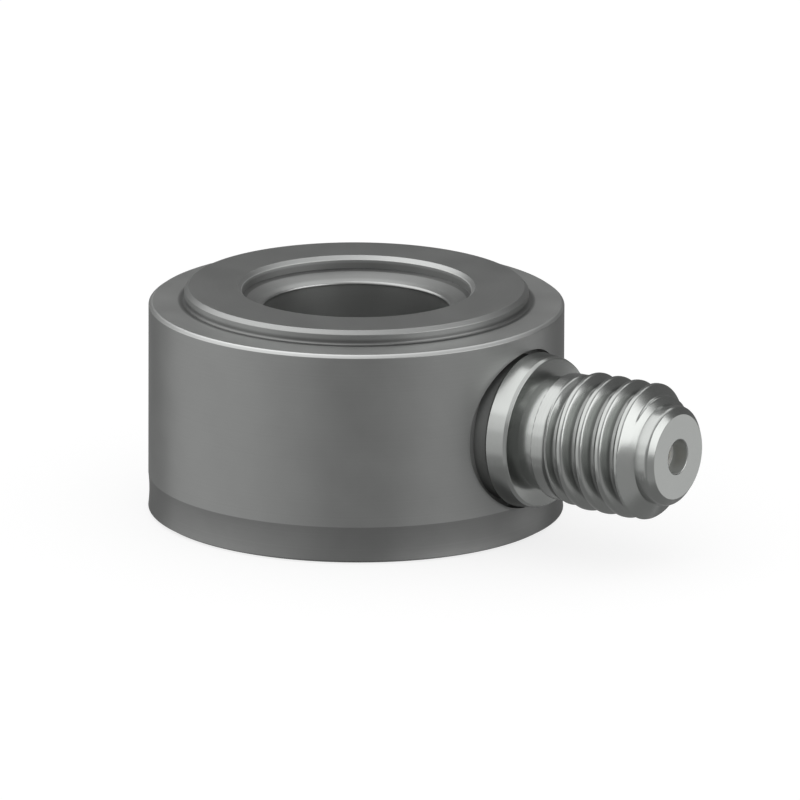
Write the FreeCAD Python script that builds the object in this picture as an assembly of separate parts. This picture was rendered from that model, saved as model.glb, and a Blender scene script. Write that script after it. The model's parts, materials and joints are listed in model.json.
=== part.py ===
import FreeCAD
import Part
import math
import os

# Piezoelectric ring force sensor: a flat steel ring round a bolt hole, welded shut over two
# quartz rings and their electrode, with a threaded coaxial connector on its side.
# Millimetres. The origin is the centre of the bolt hole on the base face, +Z runs up through
# the ring to the load face, and +X is the direction in which the connector points.

# Ring body, whose outer diameter of 14.5 follows from what lies between bore and case
bore_d = 6.5
ring_h = 8.0
case_wall = 1.05
sleeve_wall = 0.40
edge_break = 0.14

# Base ring, which closes the case from below
base_rim_h = 1.30
base_edge_break = 0.10
base_hollow = 0.05
spigot_h = 0.90
bore_mouth_break = 0.15

# Load ring, whose thin web lets the raised face sink under load
shelf_w = 1.25
shelf_drop = 0.50
cove_w = 0.18
load_ring_t = 2.20
web_t = 0.50
inner_web_w = 0.35
mouth_depth = 0.45
mouth_slope_h = 0.30
inner_web_t = 0.50

# Quartz stack and its insulation
fit_gap = 0.05
liner_wall = 0.25
liner_top_gap = 0.10
stack_w = 1.60
jacket_wall = 0.45
jacket_gap = 0.10
jacket_lap = 0.20
electrode_t = 0.40
lug_w = 0.90
lug_l = 0.30
lug_window_gap = 0.20

# Connector, measured outwards from the flat floor of its recess in the case
recess_depth = 0.56
recess_gap = 0.08
tail_d = 3.20
shoulder_d = 5.10
shoulder_l = 0.51
flange_d = 5.44
flange_w = 0.97
flange_break = 0.12
flange_cone_l = 0.08
neck_d = 4.00
neck_l = 0.45
land_d = 4.44
land_end_l = 1.15
land_fade_l = 0.28
runout_l = 0.55
thread_d = 4.80
threads_per_inch = 32
thread_l = 4.35
crest_lead = 1.93
thread_end_l = 0.33
nose_d = 3.50
nose_l = 0.65
nose_break_l = 0.20
nose_face_d = 3.00
entry_d = 1.20
front_wall = 0.60

# Inside the connector
seal_d = 2.60
seal_depth = 2.10
seal_l = 1.60
seal_rim = 0.30
insulator_d = 2.00
pin_d = 0.40
pin_engagement = 0.70
contact_d = 0.80
contact_gap = 0.02
contact_bore_d = 0.48
contact_recess = 1.00
contact_bore_l = 2.60
contact_tail_gap = 0.20
contact_slot_w = 0.10
contact_slot_l = 1.80
bush_d = 1.60

# Thread form of the connector: sixty degrees, with its crests turned flat and a shallow root
inch = 25.4
flank_angle = 30.0
crest_share = 1 / 5
depth_share = 1 / 2
cutter_proud = 0.05

# Shares of a pitch from a crest to the groove beside it, and from the helix's start to the
# -Y side of the connector, where the first full crest stands crest_lead from the flange, and
# the turns by which the helix starts ahead of it, inside the neck
crest_to_groove = 1 / 2
start_to_view = 3 / 4
lead_in = 1

# Radii of the ring, from the bolt hole out
bore_r = bore_d / 2
sleeve_r = bore_r + sleeve_wall
mouth_r = sleeve_r + inner_web_w
liner_in_r = sleeve_r + fit_gap
liner_out_r = liner_in_r + liner_wall
stack_in_r = liner_out_r + fit_gap
stack_out_r = stack_in_r + stack_w
jacket_in_r = stack_out_r + fit_gap
jacket_out_r = jacket_in_r + jacket_wall
case_in_r = jacket_out_r + jacket_gap
ring_r = case_in_r + case_wall
boss_r = ring_r - shelf_w

# Heights of the ring, from the base face up
spigot_z = base_rim_h + spigot_h
pad_z = ring_h - load_ring_t
quartz_t = (pad_z - spigot_z - electrode_t) / 2
electrode_z = spigot_z + quartz_t
upper_quartz_z = electrode_z + electrode_t
shelf_z = ring_h - shelf_drop
web_z = shelf_z - web_t
mouth_z = ring_h - mouth_depth
liner_h = pad_z - liner_top_gap - spigot_z
jacket_h = pad_z + jacket_lap - spigot_z
connector_z = electrode_z + electrode_t / 2

# Stations along the connector's axis, as distances from the axis of the ring
recess_x = ring_r - recess_depth
flange_x = recess_x + shoulder_l
neck_x = flange_x + flange_w
neck_end_x = neck_x + neck_l
land_end_x = neck_x + land_end_l
land_fade_x = land_end_x + land_fade_l
thread_end_x = neck_x + thread_l
nose_x = thread_end_x + thread_end_l
face_x = nose_x + nose_l
seal_end_x = case_in_r + seal_depth
seal_start_x = seal_end_x - seal_l
insulator_end_x = face_x - front_wall
contact_end_x = face_x - contact_recess
contact_start_x = seal_end_x + contact_tail_gap
lug_end_x = stack_out_r + lug_l
pin_end_x = contact_start_x + pin_engagement

# Thread sizes
pitch = inch / threads_per_inch
neck_r = neck_d / 2
land_r = land_d / 2
thread_r = thread_d / 2
thread_depth = depth_share * pitch
root_r = thread_r - thread_depth
flank_slope = math.tan(math.radians(flank_angle))

full_turn = 360.0
quarter_turn = 90.0
arcs_per_turn = 4


def turned(points):
    """Solid of revolution about Z, from its outline as (radius, height) points."""
    outline = [FreeCAD.Vector(radius, 0, height) for radius, height in points]
    face = Part.Face(Part.makePolygon(outline + outline[:1]))
    return face.revolve(FreeCAD.Vector(), FreeCAD.Vector(0, 0, 1), full_turn)


def tube(inner_r, outer_r, start, length):
    """Plain tube about Z."""
    end = start + length
    return turned([(inner_r, start), (outer_r, start), (outer_r, end), (inner_r, end)])


def to_connector(shape):
    """Lays a shape turned about Z along the connector's axis, with its heights as distances
    from the axis of the ring."""
    turn = FreeCAD.Rotation(FreeCAD.Vector(0, 1, 0), quarter_turn)
    return shape.transformed(FreeCAD.Placement(FreeCAD.Vector(0, 0, connector_z), turn).toMatrix())


def connector_rod(diameter, start, end):
    """Round bar on the connector's axis."""
    return to_connector(Part.makeCylinder(diameter / 2, end - start, FreeCAD.Vector(0, 0, start)))


def connector_recess():
    """Round pocket with a flat floor that the connector is welded into."""
    return connector_rod(flange_d + 2 * recess_gap, recess_x, ring_r + recess_depth)


def base_ring():
    """Bottom of the case: a rim with a shallow hollow turned round it, and a spigot that
    centres the case and carries the lower quartz ring."""
    body = turned([
        (sleeve_r, 0),
        (ring_r - base_edge_break, 0),
        (ring_r, base_edge_break),
        (ring_r - base_hollow, (base_edge_break + base_rim_h) / 2),
        (ring_r, base_rim_h),
        (case_in_r, base_rim_h),
        (case_in_r, spigot_z),
        (sleeve_r, spigot_z),
    ])
    return body.cut(connector_recess())


def outer_case():
    """Outer wall, with the opening for the connector."""
    body = turned([
        (case_in_r, base_rim_h),
        (ring_r, base_rim_h),
        (ring_r, shelf_z - edge_break),
        (ring_r - edge_break, shelf_z),
        (case_in_r, shelf_z),
    ])
    body = body.cut(connector_recess())
    return body.cut(connector_rod(tail_d, 0, ring_r))


def load_ring():
    """Raised load face, with the web that joins it to the case and the pad that presses on
    the upper quartz ring."""
    return turned([
        (mouth_r, pad_z),
        (stack_out_r, pad_z),
        (stack_out_r, web_z),
        (case_in_r, web_z),
        (case_in_r, shelf_z),
        (boss_r + cove_w, shelf_z),
        (boss_r, shelf_z + cove_w),
        (boss_r, ring_h - edge_break),
        (boss_r - edge_break, ring_h),
        (mouth_r + edge_break, ring_h),
        (mouth_r, ring_h - edge_break),
    ])


def inner_sleeve():
    """Wall of the bolt hole, which flares at the top into the sloping inner web."""
    return turned([
        (bore_r + bore_mouth_break, 0),
        (sleeve_r, 0),
        (sleeve_r, mouth_z - inner_web_t),
        (mouth_r, mouth_z - inner_web_t),
        (mouth_r, mouth_z),
        (bore_r, mouth_z - mouth_slope_h),
        (bore_r, bore_mouth_break),
    ])


def electrode_ring():
    """Flat ring between the quartz rings, with a lug that meets the connector's pin."""
    ring = tube(stack_in_r, stack_out_r, electrode_z, electrode_t)
    root = (stack_in_r + stack_out_r) / 2
    lug = Part.makeBox(
        lug_end_x - root, lug_w, electrode_t,
        FreeCAD.Vector(root, -lug_w / 2, electrode_z),
    )
    return ring.fuse(lug).removeSplitter()


def outer_insulating_ring():
    """Insulating ring round the stack, with a window for the electrode's lug."""
    ring = tube(jacket_in_r, jacket_out_r, spigot_z, jacket_h)
    window_w = lug_w + 2 * lug_window_gap
    window_h = electrode_t + 2 * lug_window_gap
    window = Part.makeBox(
        jacket_out_r, window_w, window_h,
        FreeCAD.Vector(0, -window_w / 2, electrode_z - lug_window_gap),
    )
    return ring.cut(window)


def helix_arc(radius, start, number):
    """One arc of the thread's right-handed helix about Z. Arc 0 begins on the +X side at the
    height start, and each later one begins where the arc before it ends."""
    helix = Part.makeHelix(pitch, pitch / arcs_per_turn, radius)
    helix.rotate(FreeCAD.Vector(), FreeCAD.Vector(0, 0, 1), number * full_turn / arcs_per_turn)
    helix.translate(FreeCAD.Vector(0, 0, start + number * pitch / arcs_per_turn))
    return helix.Edges[0]


def groove_end(corners, start):
    """Flat end of the groove, in the plane through the thread's axis."""
    points = [FreeCAD.Vector(radius, 0, start + offset) for radius, offset in corners]
    return Part.Face(Part.makePolygon(points + points[:1]))


def thread_groove():
    """Helical groove between the crests of the thread, past both ends of the thread. Its
    flanks, root and open side are ruled between helices, an arc at a time."""
    crest_w = crest_share * pitch
    root_half = (pitch - crest_w) / 2 - thread_depth * flank_slope
    open_r = thread_r + cutter_proud
    open_half = root_half + (open_r - root_r) * flank_slope
    corners = [
        (root_r, -root_half), (open_r, -open_half), (open_r, open_half), (root_r, root_half)]
    start = neck_x + crest_lead - (crest_to_groove + start_to_view + lead_in) * pitch
    turns = math.ceil((nose_x - start) / pitch) + 1
    end = start + turns * pitch
    faces = [groove_end(corners, start), groove_end(corners, end)]
    for number in range(turns * arcs_per_turn):
        edges = [helix_arc(radius, start + offset, number) for radius, offset in corners]
        for edge, next_edge in zip(edges, edges[1:] + edges[:1]):
            faces.append(Part.makeRuledSurface(edge, next_edge))
    skin = Part.Compound(faces)
    skin.sewShape()
    groove = Part.Solid(skin.Shells[0])
    if groove.Volume < 0:
        groove.reverse()
    return groove


def threaded_end():
    """Front of the connector: neck, plain land that the thread's groove runs out in, thread
    and nose."""
    land_outline = [
        (0, neck_x),
        (neck_r, neck_x),
        (neck_r, neck_end_x),
        (land_r, neck_end_x + land_r - neck_r),
        (land_r, land_end_x),
    ]
    land = turned(land_outline + [(root_r, land_fade_x), (0, land_fade_x)])
    stock = turned(land_outline + [
        (thread_r, land_end_x + runout_l),
        (thread_r, thread_end_x),
        (nose_d / 2, nose_x),
        (nose_d / 2, face_x - nose_break_l),
        (nose_face_d / 2, face_x),
        (0, face_x),
    ])
    return stock.cut(thread_groove().cut(land))


def connector_shell():
    """Connector body: tail through the case, shoulder on the recess floor, flange, threaded
    end, and the stepped bore for the seal, the insulator and the mating pin."""
    flange_r = flange_d / 2
    rear = turned([
        (0, case_in_r),
        (tail_d / 2, case_in_r),
        (tail_d / 2, recess_x),
        (shoulder_d / 2, recess_x),
        (shoulder_d / 2, flange_x),
        (flange_r - flange_break, flange_x),
        (flange_r, flange_x + flange_break),
        (flange_r, neck_x - flange_cone_l - flange_break),
        (flange_r - flange_break, neck_x - flange_cone_l),
        (neck_r, neck_x),
        (0, neck_x),
    ])
    stepped_bore = turned([
        (0, case_in_r),
        (seal_d / 2, case_in_r),
        (seal_d / 2, seal_end_x),
        (insulator_d / 2, seal_end_x),
        (insulator_d / 2, insulator_end_x),
        (entry_d / 2, insulator_end_x),
        (entry_d / 2, face_x),
        (0, face_x),
    ])
    body = rear.fuse(threaded_end()).cut(stepped_bore)
    return to_connector(body.removeSplitter())


def connector_tube(inner_d, outer_d, start, end):
    """Plain tube on the connector's axis."""
    return to_connector(tube(inner_d / 2, outer_d / 2, start, end - start))


def socket_contact():
    """Centre contact: bored and slotted at the front, bored for the seal's pin at the back."""
    bore_start = contact_end_x - contact_bore_l
    body = turned([
        (pin_d / 2, contact_start_x),
        (contact_d / 2, contact_start_x),
        (contact_d / 2, contact_end_x),
        (contact_bore_d / 2, contact_end_x),
        (contact_bore_d / 2, bore_start),
        (0, bore_start),
        (0, pin_end_x),
        (pin_d / 2, pin_end_x),
    ])
    slot_start = FreeCAD.Vector(
        -contact_d / 2, -contact_slot_w / 2, contact_end_x - contact_slot_l)
    slot = Part.makeBox(contact_d, contact_slot_w, contact_slot_l, slot_start)
    for angle in (0, quarter_turn):
        turned_slot = slot.copy()
        turned_slot.rotate(FreeCAD.Vector(), FreeCAD.Vector(0, 0, 1), angle)
        body = body.cut(turned_slot)
    return to_connector(body)


seal_hole_d = seal_d - 2 * seal_rim
pieces = {
    "base_ring": base_ring(),
    "outer_case": outer_case(),
    "load_ring": load_ring(),
    "inner_sleeve": inner_sleeve(),
    "lower_quartz_ring": tube(stack_in_r, stack_out_r, spigot_z, quartz_t),
    "electrode_ring": electrode_ring(),
    "upper_quartz_ring": tube(stack_in_r, stack_out_r, upper_quartz_z, quartz_t),
    "inner_insulating_sleeve": tube(liner_in_r, liner_out_r, spigot_z, liner_h),
    "outer_insulating_ring": outer_insulating_ring(),
    "connector_shell": connector_shell(),
    "seal_eyelet": connector_tube(seal_hole_d, seal_d, seal_start_x, seal_end_x),
    "glass_seal": connector_tube(pin_d, seal_hole_d, seal_start_x, seal_end_x),
    "feedthrough_pin": connector_rod(pin_d, lug_end_x, pin_end_x),
    "lead_bush": connector_tube(pin_d, bush_d, jacket_out_r, seal_start_x),
    "front_insulator": connector_tube(
        contact_d + 2 * contact_gap, insulator_d, seal_end_x, insulator_end_x),
    "socket_contact": socket_contact(),
}

os.makedirs("parts", exist_ok=True)
for name, shape in pieces.items():
    shape.exportStep("parts/" + name + ".step")
    print(name, len(shape.Solids), shape.isValid(), round(shape.Volume, 3))
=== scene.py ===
import json
import math

import bmesh
import bpy
from mathutils import Matrix, Vector


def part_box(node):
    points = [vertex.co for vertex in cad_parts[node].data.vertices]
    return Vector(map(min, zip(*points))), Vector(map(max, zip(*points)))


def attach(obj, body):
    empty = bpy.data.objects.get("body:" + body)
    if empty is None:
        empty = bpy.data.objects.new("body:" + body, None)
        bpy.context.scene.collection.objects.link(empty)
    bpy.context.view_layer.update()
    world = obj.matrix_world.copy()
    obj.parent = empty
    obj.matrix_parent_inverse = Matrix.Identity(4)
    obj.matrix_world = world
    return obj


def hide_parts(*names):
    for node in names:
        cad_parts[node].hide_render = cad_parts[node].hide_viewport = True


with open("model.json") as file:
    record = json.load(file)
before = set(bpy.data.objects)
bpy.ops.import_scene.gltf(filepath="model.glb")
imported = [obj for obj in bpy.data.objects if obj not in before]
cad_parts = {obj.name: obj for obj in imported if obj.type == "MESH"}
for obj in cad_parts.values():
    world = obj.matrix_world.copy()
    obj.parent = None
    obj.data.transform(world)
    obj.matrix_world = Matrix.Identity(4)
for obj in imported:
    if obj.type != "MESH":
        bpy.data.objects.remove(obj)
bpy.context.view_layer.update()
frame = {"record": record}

# Ring force sensor in metres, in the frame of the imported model: origin at the centre of the
# bolt hole on the base face, +Z up through the ring, +X along the connector.
MM = 0.001

# Sizes taken from the frame
case_low, case_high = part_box("outer_case")
load_low, load_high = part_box("load_ring")
shell_low, shell_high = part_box("connector_shell")
seal_low, seal_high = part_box("seal_eyelet")
insulator_low, insulator_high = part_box("front_insulator")
sleeve_low, sleeve_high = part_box("inner_sleeve")
base_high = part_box("base_ring")[1]
quartz_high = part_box("upper_quartz_ring")[1]
mounts = {mount["name"]: mount["dims"] for mount in frame["record"]["mounts"]}
bore_r = mounts["bore"]["r_mm"] * MM
thread_r = mounts["connector_thread"]["r_mm"] * MM
thread_l = mounts["connector_thread"]["length_mm"] * MM
entry_r = mounts["connector_entry"]["r_mm"] * MM
ring_r = case_high.y
case_in_r = load_high.x
stack_out_r = quartz_high.x
mouth_r = sleeve_high.x
base_hole_r = -sleeve_low.x
rim_z = case_low.z
spigot_z = base_high.z
pad_z = load_low.z
shelf_z = case_high.z
mouth_z = sleeve_high.z
ring_h = load_high.z
flange_r = (shell_high.z - shell_low.z) / 2
connector_z = (shell_high.z + shell_low.z) / 2
face_x = shell_high.x
front_wall_x = insulator_high.x
insulator_r = (insulator_high.z - insulator_low.z) / 2
seal_end_x = seal_high.x
seal_r = (seal_high.z - seal_low.z) / 2

# Sizes of the ring that its boxes don't hold
SHELF_W = 1.25 * MM
COVE_R = 0.20 * MM
WEB_T = 0.50 * MM
BORE_WALL = 0.40 * MM
EDGE_BREAK = 0.14 * MM
SHELF_FALL = 0.04 * MM
BASE_EDGE = 0.10 * MM
BASE_HOLLOW = 0.035 * MM
MOUTH_SLOPE_H = 0.30 * MM
BORE_MOUTH = 0.15 * MM
MOUTH_ROUND = 0.10 * MM
FINE_EDGE = 0.04 * MM

# Sizes of the connector and of its recess that the boxes don't hold
RECESS_DEPTH = 0.56 * MM
RECESS_GAP = 0.08 * MM
TAIL_R = 1.60 * MM
SHOULDER_R = 2.55 * MM
SHOULDER_L = 0.51 * MM
FLANGE_W = 0.97 * MM
FLANGE_BREAK = 0.12 * MM
FLANGE_CONE_L = 0.08 * MM
RIM_TAPER = 0.07 * MM
NECK_R = 2.00 * MM
NECK_L = 0.45 * MM
LAND_R = 2.22 * MM
LAND_END_L = 1.15 * MM
LAND_FADE_L = 0.28 * MM
LAND_CLEAR = 0.06 * MM
RUNOUT_L = 0.55 * MM
CREST_LEAD = 1.93 * MM
THREAD_END_L = 0.33 * MM
NOSE_R = 1.75 * MM
NOSE_BREAK_L = 0.20 * MM
NOSE_FACE_R = 1.50 * MM
NOSE_ROUND = 0.14 * MM
PITCH = 25.4 / 32 * MM
CREST_SHARE = 1 / 5
DEPTH_SHARE = 1 / 2
FLANK = math.radians(30)

# Slope of the cone from the neck up to the land, and the share of a turn between the underside
# of the connector and the side that faces the camera
LAND_RISE = 3.0
START_TO_VIEW = 0.75

# Lengths over which the forms of the thread blend where they cross
CREST_BLEND = 0.09 * MM
ROOT_BLEND = 0.08 * MM
LAND_BLEND = 0.06 * MM
BLANK_BLEND = 0.05 * MM
RUNOUT_BLEND = 0.03 * MM

# Places worked out from the sizes
boss_r = ring_r - SHELF_W
bore_edge_z = mouth_z - MOUTH_SLOPE_H
recess_r = flange_r + RECESS_GAP
recess_x = ring_r - RECESS_DEPTH
flange_x = recess_x + SHOULDER_L
neck_x = flange_x + FLANGE_W
land_x = neck_x + NECK_L + LAND_R - NECK_R
land_end_x = neck_x + LAND_END_L
thread_end_x = neck_x + thread_l
nose_x = thread_end_x + THREAD_END_L
root_r = thread_r - DEPTH_SHARE * PITCH

# Camera: its angles in degrees round the sensor and above the horizon, and how far right of the
# middle of the ring, and below it, it aims
CAMERA_SIDE = 34.4
CAMERA_HEIGHT = 15.5
CAMERA_ROLL = 0.25
CAMERA_DISTANCE = 0.7
PIXELS_PER_MM = 28.66
IMAGE_PIXELS = 800
AIM_RIGHT = 1.53 * MM
AIM_DOWN = 0.115 * MM

# Light and floor, with brightness as a share of white
FILL = 0.8
FLOOR_WHITE = 1.02
FLOOR_GREY = 0.3
FLOOR_HALF = 3.0
FLOOR_DROP = 0.01 * MM
CARD_DISTANCE = 0.6
CARD_COLUMNS = 12
CARD_ROWS = 4

# Fineness of the meshes: steps round an axis, rows to a turn of the thread, steps in an arc, and
# how much of a straight stretch a fillet and the guard beside it may take
RING_STEPS = 360
SHELL_STEPS = 192
THREAD_ROWS = 48
ARC_STEPS = 5
HOLLOW_STEPS = 8
FILLET_REACH = 0.45
GUARD_SHARE = 0.15
WELD_DISTANCE = 0.0002 * MM
SHARP_ANGLE = math.radians(30)
TURN = 2 * math.pi

# Usual soft step where a finish or a painted light or shade ends, and how far the burnished edge
# of the bolt hole, painted lighter as a painted highlight, reaches
SOFT = 0.02 * MM
BORE_EDGE_REACH = 0.21 * MM
BORE_EDGE_FADE = 0.18 * MM
BORE_EDGE_DROP = 0.12 * MM


# Outlines and meshes
def corner_arc(before, corner, after, radius):
    """Points of the fillet at a corner of an outline, with a point just outside each end that
    keeps the flat faces flat in the shading."""
    to_before = (before - corner).normalized()
    to_after = (after - corner).normalized()
    half = to_before.angle(to_after) / 2
    room = FILLET_REACH * min((before - corner).length, (after - corner).length)
    reach = min(radius / math.tan(half), room)
    radius = reach * math.tan(half)
    centre = corner + (to_before + to_after).normalized() * (radius / math.sin(half))
    start = corner + to_before * reach - centre
    end = corner + to_after * reach - centre
    sweep = start.angle_signed(end)
    guard = GUARD_SHARE * reach
    points = [corner + to_before * (reach + guard)]
    for step in range(ARC_STEPS + 1):
        turn = Matrix.Rotation(-sweep * step / ARC_STEPS, 2)
        points.append(centre + turn @ start)
    points.append(corner + to_after * (reach + guard))
    return points


def smooth_outline(corners):
    """Closed outline from (radius, height, fillet) corners, with each fillet as an arc."""
    spots = [Vector(corner[:2]) for corner in corners]
    points = []
    for number, (radius, height, fillet) in enumerate(corners):
        if fillet:
            after = spots[(number + 1) % len(spots)]
            points += corner_arc(spots[number - 1], spots[number], after, fillet)
        else:
            points.append(spots[number])
    return points


def add_mesh(name, vertices, faces):
    """New mesh object in the scene."""
    mesh = bpy.data.meshes.new(name)
    mesh.from_pydata(vertices, [], faces)
    added = bpy.data.objects.new(name, mesh)
    bpy.context.scene.collection.objects.link(added)
    return added


def tidy_mesh(mesh):
    """Welds doubles, turns the faces outwards, shades them smooth and marks sharp edges."""
    work = bmesh.new()
    work.from_mesh(mesh)
    bmesh.ops.remove_doubles(work, verts=work.verts, dist=WELD_DISTANCE)
    bmesh.ops.dissolve_degenerate(work, edges=work.edges, dist=WELD_DISTANCE)
    bmesh.ops.recalc_face_normals(work, faces=work.faces)
    work.to_mesh(mesh)
    work.free()
    mesh.shade_smooth()
    mesh.set_sharp_from_angle(angle=SHARP_ANGLE)


def about_ring(radius, height, turn):
    """Place at a radius, height and turn round the axis of the ring."""
    return (radius * math.cos(turn), radius * math.sin(turn), height)


def about_connector(radius, station, turn):
    """Place at a radius, station and turn round the axis of the connector."""
    return (station, radius * math.sin(turn), connector_z - radius * math.cos(turn))


def skin(name, outlines, about):
    """Closed skin through outlines at equal turns round an axis. The last one comes back to the
    place of the first and is welded to it."""
    steps = len(outlines) - 1
    count = len(outlines[0])
    vertices = []
    for step, outline in enumerate(outlines):
        vertices += [about(point[0], point[1], TURN * step / steps) for point in outline]
    faces = []
    for here in range(0, steps * count, count):
        there = here + count
        for number in range(count):
            after = (number + 1) % count
            faces.append((here + number, here + after, there + after, there + number))
    piece = add_mesh(name, vertices, faces)
    tidy_mesh(piece.data)
    return piece


def turned(name, outline, about, steps):
    """Closed solid of revolution of an outline."""
    return skin(name, [outline] * (steps + 1), about)


def cut(piece, *cutters):
    """Cuts cutters out of a piece, and removes them."""
    for cutter in cutters:
        boolean = piece.modifiers.new("cut", "BOOLEAN")
        boolean.operation = "DIFFERENCE"
        boolean.solver = "EXACT"
        boolean.object = cutter
    bpy.context.view_layer.update()
    result = piece.evaluated_get(bpy.context.evaluated_depsgraph_get())
    shaped = bpy.data.meshes.new_from_object(result)
    piece.modifiers.clear()
    piece.data = shaped
    for cutter in cutters:
        bpy.data.objects.remove(cutter)
    tidy_mesh(shaped)
    return piece


# Pieces of the sensor
def recess_cutter():
    """The round pocket in the case, with a flat floor that the connector is welded into."""
    outline = smooth_outline([
        (0.0, recess_x, 0),
        (recess_r, recess_x, FINE_EDGE),
        (recess_r, ring_r + RECESS_DEPTH, 0),
        (0.0, ring_r + RECESS_DEPTH, 0),
    ])
    return turned("recess_cutter", outline, about_connector, SHELL_STEPS)


def tail_cutter():
    """The opening in the case behind the recess, which the connector's tail fills."""
    outline = [Vector(corner) for corner in ((0, 0), (TAIL_R, 0), (TAIL_R, ring_r), (0, ring_r))]
    return turned("tail_cutter", outline, about_connector, SHELL_STEPS)


def base_ring():
    """Bottom of the case, with a shallow hollow turned round it. Its hole is wider than the
    sleeve that stands in it."""
    mid_z = (BASE_EDGE + rim_z) / 2
    half_h = (rim_z - BASE_EDGE) / 2
    hollow = []
    for step in range(-HOLLOW_STEPS, HOLLOW_STEPS + 1):
        share = step / HOLLOW_STEPS
        hollow.append(Vector((ring_r - BASE_HOLLOW * (1 - share ** 2), mid_z + share * half_h)))
    outline = smooth_outline([
        (case_in_r, rim_z, 0),
        (case_in_r, spigot_z, FINE_EDGE),
        (base_hole_r, spigot_z, 0),
        (base_hole_r, 0.0, 0),
        (ring_r - BASE_EDGE, 0.0, FINE_EDGE),
    ]) + hollow
    return turned("base_ring_body", outline, about_ring, RING_STEPS)


def outer_case():
    """Outer wall with its broken upper edge."""
    outline = smooth_outline([
        (case_in_r, rim_z, 0),
        (ring_r, rim_z, 0),
        (ring_r, shelf_z - EDGE_BREAK, FINE_EDGE),
        (ring_r - EDGE_BREAK, shelf_z - SHELF_FALL, FINE_EDGE),
        (case_in_r, shelf_z, 0),
    ])
    return turned("outer_case_body", outline, about_ring, RING_STEPS)


def load_ring():
    """Raised load face with its cove, the web round it and the pad below."""
    outline = smooth_outline([
        (mouth_r, pad_z, 0),
        (stack_out_r, pad_z, 0),
        (stack_out_r, shelf_z - WEB_T, 0),
        (case_in_r, shelf_z - WEB_T, 0),
        (case_in_r, shelf_z, 0),
        (boss_r, shelf_z, COVE_R),
        (boss_r, ring_h - EDGE_BREAK, FINE_EDGE),
        (boss_r - EDGE_BREAK, ring_h, FINE_EDGE),
        (mouth_r + EDGE_BREAK, ring_h, FINE_EDGE),
        (mouth_r, ring_h - EDGE_BREAK, FINE_EDGE),
    ])
    return turned("load_ring_body", outline, about_ring, RING_STEPS)


def inner_sleeve():
    """Wall of the bolt hole with the sloping surface inside its mouth."""
    wall_r = bore_r + BORE_WALL
    web_z = mouth_z - WEB_T
    outline = smooth_outline([
        (bore_r + BORE_MOUTH, 0.0, FINE_EDGE),
        (wall_r, 0.0, 0),
        (wall_r, web_z, 0),
        (mouth_r, web_z, 0),
        (mouth_r, mouth_z, 0),
        (bore_r, bore_edge_z, MOUTH_ROUND),
        (bore_r, BORE_MOUTH, FINE_EDGE),
    ])
    return turned("inner_sleeve_body", outline, about_ring, RING_STEPS)


def lower_of(first, second, blend):
    """The lower of two radii, with their crossing rounded."""
    mix = max(0.0, min(1.0, 0.5 + 0.5 * (second - first) / blend))
    return second * (1 - mix) + first * mix - blend * mix * (1 - mix)


def higher_of(first, second, blend):
    """The higher of two radii, with their crossing rounded."""
    return -lower_of(-first, -second, blend)


def between(value, start, end):
    """Share of the way from start to end, held to 0 and 1."""
    return max(0.0, min((value - start) / (end - start), 1.0))


def blank_radius(station):
    """Radius of the blank that the thread is cut from: neck, plain land, run-out, end cone."""
    if station > thread_end_x:
        return thread_r + (NOSE_R - thread_r) * between(station, thread_end_x, nose_x)
    if station > (land_x + land_end_x) / 2:
        run_out = LAND_R + (thread_r - LAND_R) * (station - land_end_x) / RUNOUT_L
        return min(thread_r, higher_of(LAND_R, run_out, RUNOUT_BLEND))
    cone = LAND_R + LAND_RISE * (station - land_x)
    return max(NECK_R, lower_of(LAND_R, cone, LAND_BLEND))


def thread_radius(offset, station):
    """Radius of the thread at a distance along the axis from the middle of a crest. Its root
    rises to the land, where the groove ends."""
    crest_half = CREST_SHARE * PITCH / 2
    flank = thread_r - (abs(offset) - crest_half) / math.tan(FLANK)
    fade = 1 - between(station, land_end_x, land_end_x + LAND_FADE_L)
    root = root_r + (LAND_R + LAND_CLEAR - root_r) * fade
    return higher_of(lower_of(thread_r, flank, CREST_BLEND), root, ROOT_BLEND)


def thread_line(turn):
    """Points of the thread along the connector's axis at one turn angle. The rows keep their
    place on the helix, and those past an end of the thread lie together on that end."""
    crest_x = neck_x + CREST_LEAD - START_TO_VIEW * PITCH + PITCH * turn / TURN
    first_row = -math.ceil(CREST_LEAD / PITCH) * THREAD_ROWS
    last_row = math.ceil((nose_x - neck_x) / PITCH) * THREAD_ROWS
    points = []
    for row in range(first_row, last_row + 1):
        station = max(neck_x, min(crest_x + row * PITCH / THREAD_ROWS, nose_x))
        turns = (station - crest_x) / PITCH
        form = thread_radius((turns - round(turns)) * PITCH, station)
        points.append(Vector((lower_of(blank_radius(station), form, BLANK_BLEND), station)))
    return points


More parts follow.
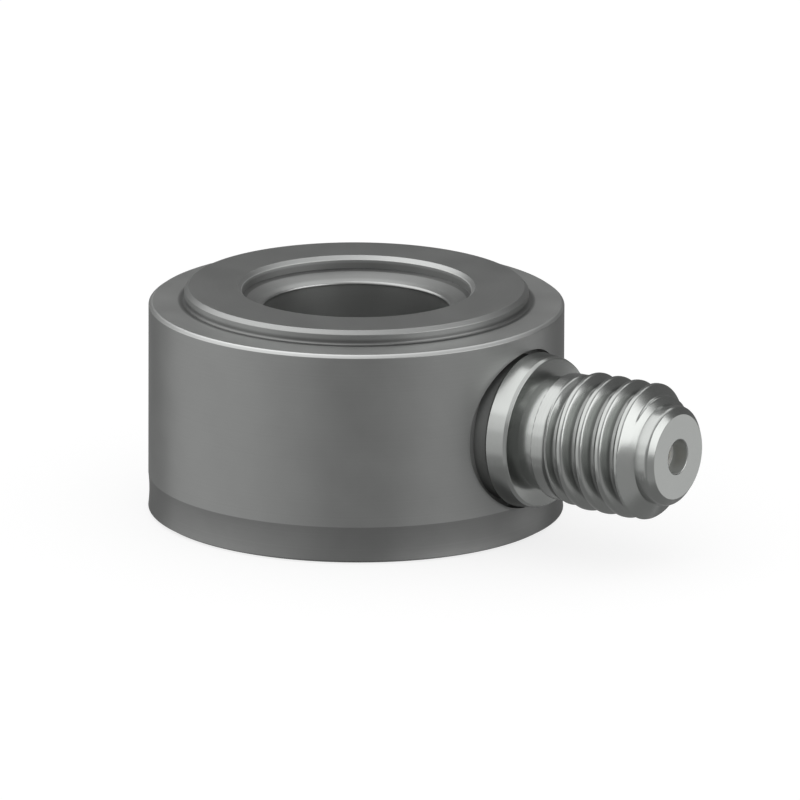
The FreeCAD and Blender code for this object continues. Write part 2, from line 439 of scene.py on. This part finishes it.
def connector_shell():
    """Connector body: tail, shoulder, flange, thread and nose, with its stepped bore."""
    rear = smooth_outline([
        (seal_r, case_in_r, 0),
        (TAIL_R, case_in_r, 0),
        (TAIL_R, recess_x, 0),
        (SHOULDER_R, recess_x, 0),
        (SHOULDER_R, flange_x, 0),
        (flange_r - FLANGE_BREAK, flange_x, FINE_EDGE),
        (flange_r, flange_x + FLANGE_BREAK, FINE_EDGE),
        (flange_r - RIM_TAPER, neck_x - FLANGE_BREAK - FLANGE_CONE_L, FINE_EDGE),
        (flange_r - FLANGE_BREAK, neck_x - FLANGE_CONE_L, FINE_EDGE),
        (NECK_R, neck_x, 0),
    ])
    front = smooth_outline([
        (NOSE_R, nose_x, 0),
        (NOSE_R, face_x - NOSE_BREAK_L, NOSE_ROUND),
        (NOSE_FACE_R, face_x, FINE_EDGE),
        (entry_r, face_x, FINE_EDGE),
        (entry_r, front_wall_x, 0),
        (insulator_r, front_wall_x, 0),
        (insulator_r, seal_end_x, 0),
        (seal_r, seal_end_x, 0),
    ])
    outlines = []
    for step in range(SHELL_STEPS + 1):
        outlines.append(rear + thread_line(TURN * step / SHELL_STEPS) + front)
    return skin("connector_body", outlines, about_connector)


# Parts of the materials
def feed(tree, socket, value):
    """Sets a socket to a value, or links it to another socket."""
    if isinstance(value, bpy.types.NodeSocket):
        tree.links.new(value, socket)
    else:
        socket.default_value = value


def calc(tree, operation, *values):
    """Result of a maths node."""
    node = tree.nodes.new("ShaderNodeMath")
    node.operation = operation
    for socket, value in zip(node.inputs, values):
        feed(tree, socket, value)
    return node.outputs[0]


def around(tree, middle, value, spread):
    """A value that wanders by a spread round its middle, from a texture of 0 to 1."""
    return calc(tree, "MULTIPLY_ADD", calc(tree, "SUBTRACT", value, 0.5), 2 * spread, middle)


def place_in_mm(tree):
    """Place on the model in millimetres."""
    coordinates = tree.nodes.new("ShaderNodeTexCoord")
    scale = tree.nodes.new("ShaderNodeVectorMath")
    scale.operation = "SCALE"
    scale.inputs["Scale"].default_value = 1 / MM
    tree.links.new(coordinates.outputs["Object"], scale.inputs[0])
    return scale.outputs[0]


def noise(tree, where, per_mm, detail):
    """Cloudy texture of 0 to 1, with the number of clouds to a millimetre."""
    node = tree.nodes.new("ShaderNodeTexNoise")
    feed(tree, node.inputs["Vector"], where)
    node.inputs["Scale"].default_value = per_mm
    node.inputs["Detail"].default_value = detail
    return node.outputs[0]


def about_axis(tree, where, axis):
    """Distance from an axis and along it, in millimetres."""
    parts = tree.nodes.new("ShaderNodeSeparateXYZ")
    tree.links.new(where, parts.inputs[0])
    x, y, z = parts.outputs
    if axis == "ring":
        across, along = x, z
    else:
        across, along = calc(tree, "SUBTRACT", z, connector_z / MM), x
    squares = calc(tree, "MULTIPLY_ADD", across, across, calc(tree, "MULTIPLY", y, y))
    return calc(tree, "SQRT", squares), along


# Zones of the surface that differ in finish, or where light and shade are painted into the tone
def above(value, limit, width):
    """Edge of a zone that lies above a limit, with a soft step of this width on the limit."""
    return value, limit - width / 2, limit + width / 2


def below(value, limit, width):
    """Edge of a zone that lies below a limit, with a soft step of this width on the limit."""
    return value, limit + width / 2, limit - width / 2


def zone(tree, *edges):
    """Share of 0 to 1 that a place belongs to a zone, from the edges that above() and below()
    give. Their values are in millimetres and their limits in metres."""
    share = 1.0
    for value, outside, inside in edges:
        step = tree.nodes.new("ShaderNodeMapRange")
        step.interpolation_type = "SMOOTHSTEP"
        feed(tree, step.inputs["Value"], value)
        step.inputs["From Min"].default_value = outside / MM
        step.inputs["From Max"].default_value = inside / MM
        share = calc(tree, "MULTIPLY", step.outputs[0], share)
    return share


def weld_scale_and_painted_shade(tree, radius, station):
    """Dull weld scale in the recess and on the shoulder of the connector, darkened further as
    painted shade of the narrow gap.
    """
    rim_fade = 0.12 * MM
    depth = 0.35 * MM
    depth_fade = 0.30 * MM
    return zone(
        tree,
        below(radius, recess_r + rim_fade / 2, rim_fade),
        above(station, recess_x - depth, depth_fade),
        below(station, flange_x, 2 * SOFT),
    )


def entry_wall_painted_light(tree, radius, station):
    """Dull wall of the hole in the connector's face, painted lighter as painted light in the hole."""
    reach = 0.015 * MM
    fade = 0.01 * MM
    depth_fade = 0.10 * MM
    return zone(
        tree,
        below(radius, entry_r + reach, fade),
        above(station, front_wall_x - depth_fade / 2, depth_fade),
    )


def thread_root_painted_shade(tree, radius, station):
    """Painted shade in the root of the thread."""
    reach = 0.09 * MM
    fade = 0.10 * MM
    return zone(
        tree,
        below(radius, root_r + reach, fade),
        above(station, land_end_x + LAND_FADE_L / 2, LAND_FADE_L),
        below(station, thread_end_x - fade / 2, fade),
    )


def cove_painted_shade(tree, radius, height):
    """Painted shade in the cove of the load face, less of it outwards and upwards."""
    reach = 0.185 * MM
    fade = 0.11 * MM
    top = 0.27 * MM
    top_fade = 0.10 * MM
    out_and_up = calc(tree, "ADD", radius, height)
    return zone(
        tree,
        below(out_and_up, boss_r + shelf_z + reach, fade),
        below(height, shelf_z + top, top_fade),
        above(height, shelf_z - SOFT / 2, SOFT),
    )


def base_band_painted_shade(tree, radius, height):
    """Base ring, below the seam in the wall and outside its hole, painted darker as painted shade."""
    fade = 0.005 * MM
    return zone(tree, below(height, rim_z, SOFT), above(radius, base_hole_r + fade / 2, fade))


def shelf_painted_light(tree, radius, height):
    """Turned shelf round the load face, painted lighter as a painted reflection."""
    fade = 0.06 * MM
    depth = 0.075 * MM
    depth_fade = 0.03 * MM
    return zone(
        tree,
        above(radius, boss_r + COVE_R + fade / 2, fade),
        below(height, shelf_z + 2 * SOFT, 2 * SOFT),
        above(height, shelf_z - depth, depth_fade),
    )


def case_edge_painted_highlight(tree, radius, height):
    """Upper edge of the case, painted lighter as a painted highlight."""
    return zone(
        tree,
        above(radius, ring_r - EDGE_BREAK, SOFT),
        above(height, shelf_z - EDGE_BREAK - SOFT / 2, SOFT),
    )


def mouth_lip_painted_highlight(tree, radius, height):
    """Edge of the load face round the mouth, painted lighter as a painted highlight."""
    return zone(
        tree,
        below(radius, mouth_r + EDGE_BREAK, SOFT),
        above(height, ring_h - EDGE_BREAK, SOFT),
    )


def mouth_wall_painted_light(tree, radius, height):
    """Upright wall inside the mouth: rougher, and painted lighter as painted light in its shade."""
    return zone(tree, below(radius, mouth_r + SOFT, SOFT), above(height, mouth_z + SOFT / 2, SOFT))


def mouth_slope_painted_shade(tree, radius, _height):
    """Sloping surface inside the mouth, down to the edge of the bolt hole, painted a little darker
    as painted shade.
    """
    return zone(
        tree,
        below(radius, mouth_r - SOFT, SOFT),
        above(radius, bore_r + BORE_EDGE_REACH, BORE_EDGE_FADE),
    )


def bore_edge_painted_highlight(tree, radius, height):
    """Rounded, burnished edge of the bolt hole, painted lighter as a painted highlight."""
    return zone(
        tree,
        below(radius, bore_r + BORE_EDGE_REACH, BORE_EDGE_FADE),
        above(height, bore_edge_z - BORE_EDGE_DROP, 2 * SOFT),
    )


def bore_wall_painted_light(tree, radius, height):
    """Wall of the bolt hole below its edge, painted lighter as painted light in its shade."""
    reach = 0.03 * MM
    return zone(
        tree,
        below(radius, bore_r + reach, 2 * SOFT),
        below(height, bore_edge_z - BORE_EDGE_DROP, 2 * SOFT),
    )


# Finishes, and light and shade painted into the tone, by place. Each row holds the axis, the
# zone, and what the zone adds to the tone, the roughness and the share of metal. The tone
# column is painted light and shade: tone 1 makes a place lighter by a fifth
RING_FINISHES_AND_SHADES = (
    ("ring", cove_painted_shade, -2.0, 0.0, 0.0),
    ("ring", base_band_painted_shade, -1.2, 0.0, 0.0),
    ("ring", shelf_painted_light, 2.0, 0.0, 0.0),
    ("ring", case_edge_painted_highlight, 1.5, 0.0, 0.0),
    ("ring", mouth_lip_painted_highlight, 1.5, 0.0, 0.0),
    ("ring", mouth_wall_painted_light, 1.5, 0.12, 0.0),
    ("ring", mouth_slope_painted_shade, -0.4, 0.0, 0.0),
    ("ring", bore_edge_painted_highlight, 1.0, -0.10, 0.0),
    ("ring", bore_wall_painted_light, 1.2, 0.0, 0.0),
    ("connector", weld_scale_and_painted_shade, -0.5, 0.25, -0.7),
)
CONNECTOR_FINISHES_AND_SHADES = (
    ("connector", thread_root_painted_shade, -2.0, 0.0, 0.0),
    ("connector", entry_wall_painted_light, 1.0, 0.0, -0.7),
    ("connector", weld_scale_and_painted_shade, -3.0, 0.25, -0.7),
)


# Materials
def linear(grey):
    """Linear value of a screen grey from 0 to 255."""
    share = grey / 255
    return share / 12.92 if share <= 0.04045 else ((share + 0.055) / 1.055) ** 2.4


def turning_lines(tree, where, axis, per_mm):
    """Texture of the lines that a tool leaves round an axis. It climbs by radius and height, so
    that faces of any slope have lines."""
    slant = 1.7
    radius, height = about_axis(tree, where, axis)
    node = tree.nodes.new("ShaderNodeTexNoise")
    node.noise_dimensions = "1D"
    tree.links.new(calc(tree, "MULTIPLY_ADD", height, slant, radius), node.inputs["W"])
    node.inputs["Scale"].default_value = per_mm
    node.inputs["Detail"].default_value = 3.0
    return node.outputs[0]


def new_material(name):
    """Material with its node tree and its Principled shader."""
    material = bpy.data.materials.new(name)
    material.use_nodes = True
    return material, material.node_tree, material.node_tree.nodes["Principled BSDF"]


def tint(tree, color, value, spread):
    """A colour that gets lighter and darker by a share."""
    node = tree.nodes.new("ShaderNodeVectorMath")
    node.operation = "SCALE"
    node.inputs[0].default_value = color
    tree.links.new(around(tree, 1.0, value, spread), node.inputs["Scale"])
    return node.outputs[0]


def relief(tree, height, depth_mm):
    """Normal of a surface with a relief of this depth."""
    node = tree.nodes.new("ShaderNodeBump")
    node.inputs["Strength"].default_value = 1.0
    node.inputs["Distance"].default_value = depth_mm * MM
    tree.links.new(height, node.inputs["Height"])
    return node.outputs[0]


def finish_and_shade_by_place(tree, where, finishes_and_shades, tone, rough):
    """Tone, roughness and share of metal with what each zone adds to them; the tone that a zone
    adds is painted light and shade.
    """
    metal = 1.0
    for axis, zone_share, tone_step, rough_step, metal_step in finishes_and_shades:
        radius, along = about_axis(tree, where, axis)
        share = zone_share(tree, radius, along)
        tone = calc(tree, "MULTIPLY_ADD", share, tone_step, tone)
        rough = calc(tree, "MULTIPLY_ADD", share, rough_step, rough)
        metal = calc(tree, "MULTIPLY_ADD", share, metal_step, metal)
    return tone, rough, metal


def steel(name, color, roughness, axis, grain_mm, finishes_and_shades):
    """Turned steel: faint tool lines, a fine blasted grain and clouds of uneven tone and polish,
    with the finish and the painted light and shade of each zone.
    """
    material, tree, shader = new_material(name)
    where = place_in_mm(tree)
    clouds = noise(tree, where, per_mm=0.7, detail=4.0)
    grain = noise(tree, where, per_mm=14.0, detail=2.0)
    lines = turning_lines(tree, where, axis, per_mm=9.0)
    line_share = 0.25
    line_relief = 0.6
    cloud_tone = calc(tree, "MULTIPLY", clouds, 1 - line_share)
    tone = calc(tree, "MULTIPLY_ADD", lines, line_share, cloud_tone)
    rough = around(tree, roughness, clouds, spread=0.12 * roughness)
    tone, rough, metal = finish_and_shade_by_place(tree, where, finishes_and_shades, tone, rough)
    tree.links.new(tint(tree, color, tone, spread=0.10), shader.inputs["Base Color"])
    tree.links.new(rough, shader.inputs["Roughness"])
    tree.links.new(metal, shader.inputs["Metallic"])
    height = calc(tree, "MULTIPLY_ADD", lines, line_relief, grain)
    tree.links.new(relief(tree, height, grain_mm), shader.inputs["Normal"])
    return material


def clouded(name, color, roughness, per_mm, color_spread, rough_spread):
    """Material with clouds in its colour and polish, and its shader."""
    material, tree, shader = new_material(name)
    clouds = noise(tree, place_in_mm(tree), per_mm, detail=3.0)
    tree.links.new(tint(tree, color, clouds, color_spread), shader.inputs["Base Color"])
    tree.links.new(around(tree, roughness, clouds, rough_spread), shader.inputs["Roughness"])
    return material, tree, shader


def plated(name, color, roughness):
    """Plated metal with thin and thick places."""
    material, tree, shader = clouded(
        name, color, roughness, per_mm=2.5, color_spread=0.12, rough_spread=0.08)
    grain = noise(tree, place_in_mm(tree), per_mm=30.0, detail=2.0)
    tree.links.new(relief(tree, grain, depth_mm=0.0006), shader.inputs["Normal"])
    shader.inputs["Metallic"].default_value = 1.0
    return material


def moulded(name, color, roughness, coat):
    """Plastic, or fused glass with a coat, with flow clouds and a faint orange-peel relief."""
    material, tree, shader = clouded(
        name, color, roughness, per_mm=1.2, color_spread=0.08, rough_spread=0.08)
    peel = noise(tree, place_in_mm(tree), per_mm=16.0, detail=2.0)
    tree.links.new(relief(tree, peel, depth_mm=0.001), shader.inputs["Normal"])
    shader.inputs["Coat Weight"].default_value = coat
    return material


def crystal(name, color, roughness):
    """Lapped quartz: clear, with faint veils and a fine ground surface."""
    material, tree, shader = clouded(
        name, color, roughness, per_mm=0.9, color_spread=0.05, rough_spread=0.06)
    ground = noise(tree, place_in_mm(tree), per_mm=25.0, detail=2.0)
    tree.links.new(relief(tree, ground, depth_mm=0.0008), shader.inputs["Normal"])
    shader.inputs["Transmission Weight"].default_value = 0.85
    shader.inputs["IOR"].default_value = 1.54
    return material


def paint(piece, material):
    """Gives a piece one material."""
    piece.data.materials.clear()
    piece.data.materials.append(material)


def stand_for(piece, node, slot):
    """Puts a piece on the model in place of its node."""
    paint(piece, LOOKS[slot])
    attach(piece, "root")
    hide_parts(node)


# Studio
def toward(side, height):
    """Direction from the sensor: degrees to the right of the camera, and above the horizon."""
    turn = math.radians(side + CAMERA_SIDE)
    rise = math.radians(height)
    return Vector((math.sin(turn) * math.cos(rise), -math.cos(turn) * math.cos(rise), math.sin(rise)))


def glow(name, strength):
    """Material of an evenly lit card."""
    material = bpy.data.materials.new(name)
    material.use_nodes = True
    nodes = material.node_tree.nodes
    nodes.clear()
    light = nodes.new("ShaderNodeEmission")
    light.inputs["Color"].default_value = (1, 1, 1, 1)
    light.inputs["Strength"].default_value = strength
    out = nodes.new("ShaderNodeOutputMaterial")
    material.node_tree.links.new(light.outputs[0], out.inputs[0])
    return material


def card(name, corners, faces, strength):
    """Evenly lit or dark card, seen in reflections only."""
    sheet = add_mesh(name, corners, faces)
    sheet.data.materials.append(glow(name, strength))
    sheet.visible_camera = False
    sheet.visible_shadow = False
    sheet.visible_transmission = False
    sheet.visible_diffuse = False


def curved_card(name, sides, heights, strength):
    """Card bent round the sensor, given by the directions of its edges."""
    corners = []
    for column in range(CARD_COLUMNS + 1):
        side = sides[0] + (sides[1] - sides[0]) * column / CARD_COLUMNS
        for row in range(CARD_ROWS + 1):
            height = heights[0] + (heights[1] - heights[0]) * row / CARD_ROWS
            corners.append(toward(side, height) * CARD_DISTANCE)
    faces = []
    for column in range(CARD_COLUMNS):
        for row in range(CARD_ROWS):
            here = column * (CARD_ROWS + 1) + row
            there = here + CARD_ROWS + 1
            faces.append((here, there, there + 1, here + 1))
    card(name, corners, faces, strength)


def level_corners(x_range, y_range, height):
    """Corners of a level sheet from its edges in metres."""
    left, right = x_range
    front, back = y_range
    return [(left, front, height), (right, front, height), (right, back, height), (left, back, height)]


def top_card(name, x_range, y_range, height, strength):
    """Level card that hangs over the sensor."""
    card(name, level_corners(x_range, y_range, height), [(0, 1, 2, 3)], strength)


def shown_directly(tree):
    """1 for a ray from the camera, a mirror or glass, 0 for the others."""
    path = tree.nodes.new("ShaderNodeLightPath")
    seen = calc(tree, "MAXIMUM", path.outputs["Is Camera Ray"], path.outputs["Is Glossy Ray"])
    return calc(tree, "MAXIMUM", seen, path.outputs["Is Transmission Ray"])


def make_world():
    """White behind the object, and a plain level of fill light."""
    world = bpy.data.worlds.new("studio")
    bpy.context.scene.world = world
    world.use_nodes = True
    tree = world.node_tree
    tree.nodes.clear()
    sky = tree.nodes.new("ShaderNodeBackground")
    sky.inputs["Color"].default_value = (1, 1, 1, 1)
    strength = calc(tree, "MULTIPLY_ADD", shown_directly(tree), 1 - FILL, FILL)
    tree.links.new(strength, sky.inputs["Strength"])
    out = tree.nodes.new("ShaderNodeOutputWorld")
    tree.links.new(sky.outputs[0], out.inputs[0])


def floor_material():
    """Pale surface that is white wherever no shadow falls, and clear from below."""
    material = bpy.data.materials.new("floor")
    material.use_nodes = True
    tree = material.node_tree
    tree.nodes.clear()
    diffuse = tree.nodes.new("ShaderNodeBsdfDiffuse")
    diffuse.inputs["Color"].default_value = (FLOOR_GREY, FLOOR_GREY, FLOOR_GREY, 1)
    lift = tree.nodes.new("ShaderNodeEmission")
    strength = calc(tree, "MULTIPLY", shown_directly(tree), FLOOR_WHITE - FLOOR_GREY * FILL)
    tree.links.new(strength, lift.inputs["Strength"])
    add = tree.nodes.new("ShaderNodeAddShader")
    tree.links.new(diffuse.outputs[0], add.inputs[0])
    tree.links.new(lift.outputs[0], add.inputs[1])
    clear = tree.nodes.new("ShaderNodeBsdfTransparent")
    face = tree.nodes.new("ShaderNodeNewGeometry")
    mix = tree.nodes.new("ShaderNodeMixShader")
    tree.links.new(face.outputs["Backfacing"], mix.inputs[0])
    tree.links.new(add.outputs[0], mix.inputs[1])
    tree.links.new(clear.outputs[0], mix.inputs[2])
    out = tree.nodes.new("ShaderNodeOutputMaterial")
    tree.links.new(mix.outputs[0], out.inputs[0])
    return material


def make_floor():
    """Plain floor just under the sensor, which keeps the shadow."""
    edges = (-FLOOR_HALF, FLOOR_HALF)
    floor = add_mesh("floor", level_corners(edges, edges, -FLOOR_DROP), [(0, 1, 2, 3)])
    floor.data.materials.append(floor_material())
    floor.visible_glossy = False


def make_camera():
    """Long lens at the photograph's viewing angle, aimed so that the ring sits left of the
    middle as it does there."""
    back = toward(0, CAMERA_HEIGHT)
    right = toward(90, 0)
    up = back.cross(right)
    view_width = IMAGE_PIXELS / PIXELS_PER_MM * MM
    data = bpy.data.cameras.new("camera")
    data.lens = data.sensor_width * CAMERA_DISTANCE / view_width
    data.clip_start = 0.01
    data.clip_end = 10
    camera = bpy.data.objects.new("camera", data)
    bpy.context.scene.collection.objects.link(camera)
    camera.rotation_mode = "QUATERNION"
    roll = Matrix.Rotation(math.radians(CAMERA_ROLL), 3, back)
    camera.rotation_quaternion = (roll @ Matrix((right, up, back)).transposed()).to_quaternion()
    target = Vector((0, 0, connector_z)) + right * AIM_RIGHT - up * AIM_DOWN
    camera.location = target + back * CAMERA_DISTANCE
    bpy.context.scene.camera = camera


# The dressed sensor in its studio
CASE_COLOR = (linear(144), linear(145), linear(144))
CONNECTOR_COLOR = (linear(160), linear(162), linear(160))
LOOKS = {
    "case_steel": steel(
        "case_steel", CASE_COLOR, roughness=0.42, axis="ring", grain_mm=0.0004,
        finishes_and_shades=RING_FINISHES_AND_SHADES),
    "connector_steel": steel(
        "connector_steel", CONNECTOR_COLOR, roughness=0.23, axis="connector", grain_mm=0.00004,
        finishes_and_shades=CONNECTOR_FINISHES_AND_SHADES),
    "quartz": crystal("quartz", (0.90, 0.93, 0.95), roughness=0.12),
    "gilt_metal": plated("gilt_metal", (0.80, 0.72, 0.54), roughness=0.40),
    "insulation": moulded("insulation", (0.90, 0.90, 0.87), roughness=0.45, coat=0.0),
    "seal_glass": moulded("seal_glass", (0.10, 0.22, 0.20), roughness=0.15, coat=0.5),
}

for part in frame["record"]["subparts"]:
    node = bpy.data.objects.get(part["node"])
    if node:
        paint(node, LOOKS[part["material_slot"]])
stand_for(cut(base_ring(), recess_cutter()), "base_ring", "case_steel")
stand_for(cut(outer_case(), recess_cutter(), tail_cutter()), "outer_case", "case_steel")
stand_for(load_ring(), "load_ring", "case_steel")
stand_for(inner_sleeve(), "inner_sleeve", "case_steel")
stand_for(connector_shell(), "connector_shell", "connector_steel")

make_world()
make_floor()

# Cards, with edges in metres, or in degrees right of the camera and above the horizon
top_card("softbox", x_range=(-0.55, -0.01), y_range=(-0.43, 0.10), height=0.25, strength=2.0)
top_card("softbox_edge", x_range=(-0.01, 0.12), y_range=(-0.43, 0.26), height=0.25, strength=1.35)
top_card("mouth_card", x_range=(-0.09, -0.02), y_range=(0.15, 0.27), height=0.25, strength=1.6)
top_card("ceiling", x_range=(-0.9, 0.9), y_range=(-0.9, 0.9), height=0.5, strength=0.49)
curved_card("right_box", sides=(35, 90), heights=(2, 42), strength=2.6)
curved_card("right_low_card", sides=(32, 98), heights=(-38, 2), strength=0.57)
curved_card("face_card", sides=(98, 125), heights=(-22, -9), strength=1.18)
curved_card("low_face_card", sides=(98, 125), heights=(-38, -22), strength=0.28)
curved_card("back_card", sides=(98, 235), heights=(-9, 38), strength=0.20)
curved_card("low_back_card", sides=(125, 235), heights=(-38, -9), strength=0.26)
curved_card("left_box", sides=(-125, -52), heights=(7, 26), strength=1.6)
curved_card("left_middle_card", sides=(-125, -52), heights=(-10, 7), strength=1.0)
curved_card("left_low_card", sides=(-125, -52), heights=(-25, -10), strength=0.85)
curved_card("left_floor_card", sides=(-125, -52), heights=(-38, -25), strength=0.42)
curved_card("front_left_card", sides=(-52, -22), heights=(-38, 22), strength=0.70)
curved_card("front_card", sides=(-22, 32), heights=(-38, 22), strength=0.44)
curved_card("low_card", sides=(-180, 180), heights=(-90, -38), strength=0.33)

make_camera()
bpy.context.scene.view_settings.view_transform = "Standard"
